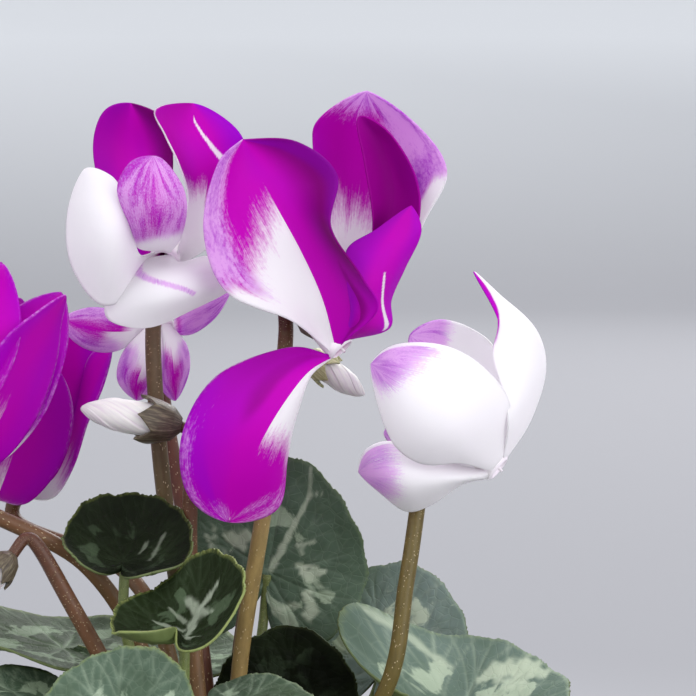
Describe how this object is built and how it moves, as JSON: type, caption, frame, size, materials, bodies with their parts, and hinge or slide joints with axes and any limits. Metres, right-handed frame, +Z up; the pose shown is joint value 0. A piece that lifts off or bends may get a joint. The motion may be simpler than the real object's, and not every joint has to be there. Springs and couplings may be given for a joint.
{
  "type": "potted cyclamen",
  "caption": "Flowering cyclamen in a round clay pot: a tuber in soil, heart-shaped marbled leaves, swept-back blooms and buds on hooked stems; stands on its flat base.",
  "frame": {"origin": "centre of the pot's flat base", "axes": "+Z up along the pot's axis; -Y is the side seen in the picture, +X its right"},
  "size_m": [0.21, 0.208, 0.3267],
  "materials": {
    "clay": "unglazed, matte",
    "soil": "loose, crumbly, matte",
    "tuber": "corky, matte",
    "leaf": "satin",
    "stem": "satin, finely hairy",
    "petal": "velvety",
    "pale_petal": "velvety"
  },
  "bodies": {
    "root": {"bloom_back_left_petals": "petal", "bloom_back_left_stem": "stem", "bloom_behind_petals": "petal", "bloom_behind_stem": "stem", "bloom_center_petals": "petal", "bloom_center_stem": "stem", "bloom_far_left_petals": "petal", "bloom_far_left_stem": "stem", "bloom_left_petals": "petal", "bloom_left_stem": "stem", "bloom_right_petals": "pale_petal", "bloom_right_stem": "stem", "bud_behind_petals": "pale_petal", "bud_behind_stem": "stem", "bud_left_petals": "pale_petal", "bud_left_stem": "stem", "bud_low_petals": "pale_petal", "bud_low_stem": "stem", "leaf_01": "leaf", "leaf_02": "leaf", "leaf_03": "leaf", "leaf_04": "leaf", "leaf_05": "leaf", "leaf_06": "leaf", "leaf_07": "leaf", "leaf_08": "leaf", "leaf_09": "leaf", "leaf_10": "leaf", "leaf_11": "leaf", "leaf_12": "leaf", "leaf_13": "leaf", "leaf_14": "leaf", "leaf_15": "leaf", "leaf_16": "leaf", "leaf_17": "leaf", "leaf_18": "leaf", "leaf_19": "leaf", "leaf_20": "leaf", "pot": "clay", "potting_soil": "soil", "tuber": "tuber"}
  },
  "joints": []
}
